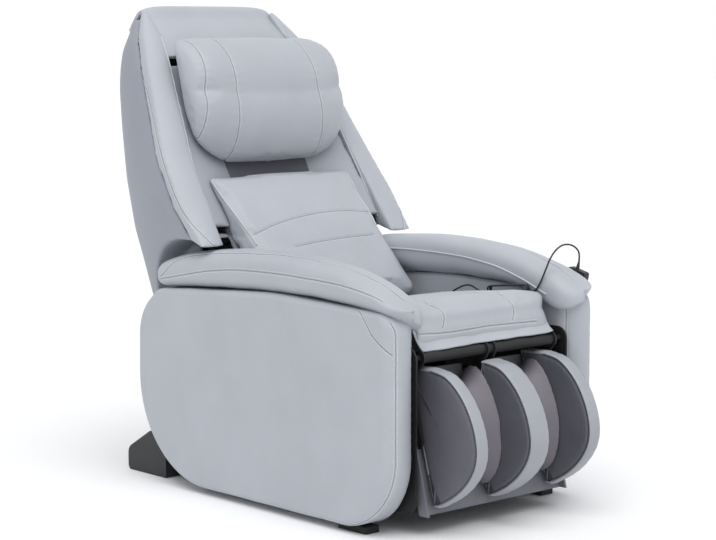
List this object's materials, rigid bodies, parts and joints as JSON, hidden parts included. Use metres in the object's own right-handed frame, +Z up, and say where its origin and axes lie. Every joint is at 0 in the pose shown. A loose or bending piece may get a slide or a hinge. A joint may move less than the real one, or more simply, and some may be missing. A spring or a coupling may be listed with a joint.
{
  "type": "massage armchair",
  "caption": "Upholstered box-arm massage armchair with reclining shell back, roller carriage, lifting calf rest, side-pocket handset and rear transport wheels.",
  "frame": {"origin": "on the floor, midway between the two arms, at the row's own zero between the front feet and the rear heels", "axes": "+Z up; the chair faces -Y and its long way from calf rest to back runs along Y; +X is the sitter's left, the side of the handset"},
  "size_m": [0.6555, 1.1912, 1.0809],
  "materials": {
    "pad_leather": "light grey leatherette, fine grain",
    "shell_plastic": "grey wrapped shell",
    "liner_fabric": "black lining",
    "frame_steel": "black powder coat",
    "bright_steel": "ground steel",
    "bracket_steel": "white paint",
    "board_wood": "plain board",
    "apron_leather": "light grey leatherette over board",
    "black_plastic": "black, fine texture",
    "motor_plastic": "dark grey",
    "roller_plastic": "off white",
    "ram_aluminium": "satin",
    "gloss_black": "gloss black",
    "grey_rubber": "soft grey keys",
    "foot_rubber": "black rubber",
    "cord_rubber": "black cord"
  },
  "bodies": {
    "base": {"side_plate_left": "frame_steel", "side_plate_right": "frame_steel", "cross_tubes": "frame_steel", "seat_board": "board_wood", "seat_cushion": "pad_leather", "front_apron": "apron_leather", "seat_latch": "bracket_steel", "arm_core_left": "board_wood", "arm_core_right": "board_wood", "arm_outer_pad_left": "pad_leather", "arm_outer_pad_right": "pad_leather", "arm_band_left": "pad_leather", "arm_band_right": "pad_leather", "arm_bolster_left": "pad_leather", "arm_bolster_right": "pad_leather", "floor_feet": "foot_rubber", "wheel_housings": "black_plastic", "control_box": "motor_plastic", "air_pump": "motor_plastic", "rear_cover": "black_plastic", "handset_clip": "black_plastic", "handset_shell": "black_plastic", "remote_cord": "cord_rubber", "cord_hank": "cord_rubber", "remote_cord_tail": "cord_rubber"},
    "backrest": {"back_rail_left": "frame_steel", "back_rail_right": "frame_steel", "back_cross_bars": "frame_steel", "back_shell": "shell_plastic", "back_wing_left": "pad_leather", "back_wing_right": "pad_leather", "back_liner": "liner_fabric", "lumbar_cushion": "pad_leather", "head_pillow": "pad_leather", "hood": "pad_leather"},
    "calf_rest": {"footrest_frame": "frame_steel", "footrest_tray": "black_plastic", "side_lobe_left": "pad_leather", "side_lobe_right": "pad_leather", "middle_lobe": "pad_leather", "calf_pads": "pad_leather"},
    "roller_carriage": {"carriage": "frame_steel", "massage_motor": "motor_plastic"},
    "wheel_left": {"transport_wheel_left": "foot_rubber"},
    "wheel_right": {"transport_wheel_right": "foot_rubber"},
    "mains_key": {"power_rocker": "gloss_black"},
    "handset_button": {"power_button": "grey_rubber"},
    "handset_key": {"direction_key": "grey_rubber"},
    "recline_ram": {"recline_actuator": "motor_plastic"},
    "recline_ram_rod": {"recline_rod": "ram_aluminium"},
    "lift_ram": {"footrest_actuator": "motor_plastic"},
    "lift_ram_rod": {"footrest_rod": "ram_aluminium"},
    "screw": {"lead_screw": "bright_steel"},
    "knead": {"knead_shaft": "bright_steel"},
    "rocker_arm_left": {"roller_arm_left": "motor_plastic"},
    "rocker_arm_right": {"roller_arm_right": "motor_plastic"},
    "roller_ul": {"upper_roller_left": "roller_plastic"},
    "roller_ur": {"upper_roller_right": "roller_plastic"},
    "roller_ll": {"lower_roller_left": "roller_plastic"},
    "roller_lr": {"lower_roller_right": "roller_plastic"}
  },
  "joints": [
    {"name": "recline", "type": "hinge", "parent": "base", "child": "backrest", "pos_m": [0, 0.2, 0.36], "axis": [-1, 0, 0], "range_deg": [0, 42]},
    {"name": "lift", "type": "hinge", "parent": "base", "child": "calf_rest", "pos_m": [0, -0.44, 0.367], "axis": [-1, 0, 0], "range_deg": [0, 75]},
    {"name": "recline_ram_swing", "type": "hinge", "parent": "base", "child": "recline_ram", "pos_m": [-0.08, -0.17, 0.2], "axis": [1, 0, 0], "range_deg": [-0.5, 2.6]},
    {"name": "recline_ram_stroke", "type": "slide", "parent": "recline_ram", "child": "recline_ram_rod", "axis": [0, 0.975, 0.222], "range_m": [-0.053, 0.002]},
    {"name": "lift_ram_swing", "type": "hinge", "parent": "base", "child": "lift_ram", "pos_m": [0, 0, 0.285], "axis": [1, 0, 0], "range_deg": [-2, 0.5]},
    {"name": "lift_ram_stroke", "type": "slide", "parent": "lift_ram", "child": "lift_ram_rod", "axis": [0, -0.9972, 0.0742], "range_m": [-0.002, 0.062]},
    {"name": "carriage_travel", "type": "slide", "parent": "backrest", "child": "roller_carriage", "axis": [0, 0.4384, 0.8988], "range_m": [-0.14, 0.15]},
    {"name": "screw_turn", "type": "hinge", "parent": "backrest", "child": "screw", "pos_m": [0, 0.43048, 0.66147], "axis": [0, 0.4384, 0.8988], "continuous": true},
    {"name": "knead_turn", "type": "hinge", "parent": "roller_carriage", "child": "knead", "pos_m": [0, 0.36654, 0.6604], "axis": [1, 0, 0], "continuous": true},
    {"name": "tap_left", "type": "hinge", "parent": "roller_carriage", "child": "rocker_arm_left", "pos_m": [0.072, 0.36307, 0.69435], "axis": [1, 0, 0], "range_deg": [-8, 8]},
    {"name": "tap_right", "type": "hinge", "parent": "roller_carriage", "child": "rocker_arm_right", "pos_m": [-0.072, 0.36307, 0.69435], "axis": [1, 0, 0], "range_deg": [-8, 8]},
    {"name": "upper_roll_left", "type": "hinge", "parent": "rocker_arm_left", "child": "roller_ul", "pos_m": [0.0898, 0.36688, 0.76147], "axis": [1, 0, 0], "continuous": true},
    {"name": "upper_roll_right", "type": "hinge", "parent": "rocker_arm_right", "child": "roller_ur", "pos_m": [-0.0898, 0.36688, 0.76147], "axis": [1, 0, 0], "continuous": true},
    {"name": "lower_roll_left", "type": "hinge", "parent": "rocker_arm_left", "child": "roller_ll", "pos_m": [0.0898, 0.31253, 0.65002], "axis": [1, 0, 0], "continuous": true},
    {"name": "lower_roll_right", "type": "hinge", "parent": "rocker_arm_right", "child": "roller_lr", "pos_m": [-0.0898, 0.31253, 0.65002], "axis": [1, 0, 0], "continuous": true},
    {"name": "wheel_turn_left", "type": "hinge", "parent": "base", "child": "wheel_left", "pos_m": [0.228, 0.462, 0.035], "axis": [1, 0, 0], "continuous": true},
    {"name": "wheel_turn_right", "type": "hinge", "parent": "base", "child": "wheel_right", "pos_m": [-0.228, 0.462, 0.035], "axis": [1, 0, 0], "continuous": true},
    {"name": "mains_switch", "type": "hinge", "parent": "base", "child": "mains_key", "pos_m": [0.15, 0.3355, 0.15], "axis": [1, 0, 0], "range_deg": [-16, 0]},
    {"name": "button_press", "type": "slide", "parent": "base", "child": "handset_button", "axis": [-1, 0, 0], "range_m": [0, 0.001], "stiffness_N_per_m": 400, "springref_m": -0.001},
    {"name": "key_rock", "type": "hinge", "parent": "base", "child": "handset_key", "pos_m": [0.327, -0.39812, 0.45554], "axis": [0, 0.9703, 0.2419], "range_deg": [-5, 5], "stiffness_Nm_per_rad": 0.2}
  ],
  "couplings": [
    {"joint": "recline_ram_swing", "follows": "recline", "ratio": 0.0443},
    {"joint": "recline_ram_stroke", "follows": "recline", "m_per_rad": -0.069407},
    {"joint": "lift_ram_swing", "follows": "lift", "ratio": -0.016},
    {"joint": "lift_ram_stroke", "follows": "lift", "m_per_rad": 0.045259},
    {"joint": "screw_turn", "follows": "carriage_travel", "rad_per_m": 523.6},
    {"joint": "tap_right", "follows": "tap_left", "ratio": -1}
  ]
}
